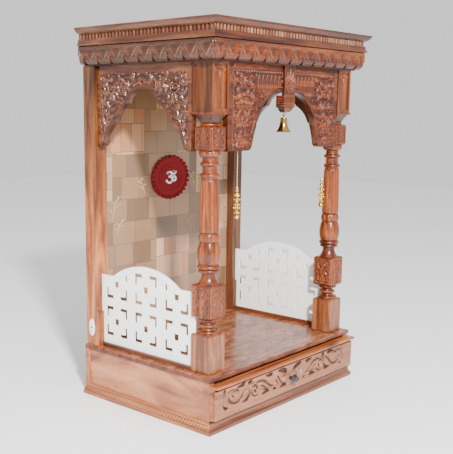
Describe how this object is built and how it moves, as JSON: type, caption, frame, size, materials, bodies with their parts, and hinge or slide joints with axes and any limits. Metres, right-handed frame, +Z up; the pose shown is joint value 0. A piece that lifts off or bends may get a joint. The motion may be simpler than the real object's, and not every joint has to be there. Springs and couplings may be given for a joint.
{
  "type": "household temple cabinet",
  "caption": "Wooden household temple with turned columns, cusped arches, lattice side panels, a hanging bell and a wide drawer, for worship at home.",
  "frame": {"origin": "on the floor, under the middle of the bounding box's base", "axes": "+Z up, +X to the viewer's right, +Y towards the back; the front faces -Y"},
  "size_m": [0.631, 0.454, 0.914],
  "materials": {
    "sheesham_wood": "polished reddish brown hardwood",
    "pale_veneer": "pale polished veneer",
    "drawer_wood": "plain sanded board",
    "back_panel_gloss": "glossy laminated panel",
    "white_lacquer": "white lacquer on wood",
    "brass": "polished",
    "silver_metal": "dark polished metal",
    "tassel_thread": "golden thread",
    "gold_beads": "polished beads",
    "red_velvet": "deep red velvet",
    "white_cover": "white moulded"
  },
  "bodies": {
    "cabinet": {"base_back": "sheesham_wood", "base_floor": "sheesham_wood", "skirting_front": "sheesham_wood", "skirting_left": "sheesham_wood", "skirting_right": "sheesham_wood", "platform": "sheesham_wood", "drawer_runners": "sheesham_wood", "left_column": "sheesham_wood", "right_column": "sheesham_wood", "left_box": "sheesham_wood", "right_box": "sheesham_wood", "rear_left_post": "sheesham_wood", "rear_right_post": "sheesham_wood", "left_sill": "sheesham_wood", "right_sill": "sheesham_wood", "left_arch": "sheesham_wood", "right_arch": "sheesham_wood", "front_arch": "sheesham_wood", "keystone": "sheesham_wood", "ceiling_board": "sheesham_wood", "cornice_box": "sheesham_wood", "roof_board": "sheesham_wood", "frieze_front": "sheesham_wood", "frieze_left": "sheesham_wood", "frieze_right": "sheesham_wood", "cornice_front": "sheesham_wood", "cornice_left": "sheesham_wood", "cornice_right": "sheesham_wood", "dentils": "sheesham_wood", "base_left_side": "pale_veneer", "base_right_side": "pale_veneer", "back_panel": "back_panel_gloss", "left_jali": "white_lacquer", "right_jali": "white_lacquer", "bell_eye": "brass", "left_tassel_thread": "tassel_thread", "right_tassel_thread": "tassel_thread", "left_tassel_beads": "gold_beads", "right_tassel_beads": "gold_beads", "plaque": "red_velvet", "oval_cover": "white_cover"},
    "drawer": {"drawer_front": "sheesham_wood", "drawer_left_side": "drawer_wood", "drawer_right_side": "drawer_wood", "drawer_back": "drawer_wood", "drawer_bottom": "drawer_wood", "drawer_knob": "silver_metal"},
    "bell": {"bell": "brass", "bell_clapper": "brass"}
  },
  "joints": [
    {"name": "drawer_slide", "type": "slide", "parent": "cabinet", "child": "drawer", "axis": [0, -1, 0], "range_m": [0, 0.25]},
    {"name": "bell_swing", "type": "hinge", "parent": "cabinet", "child": "bell", "pos_m": [0, -0.1658, 0.7121], "axis": [1, 0, 0], "range_deg": [-45, 45]}
  ]
}
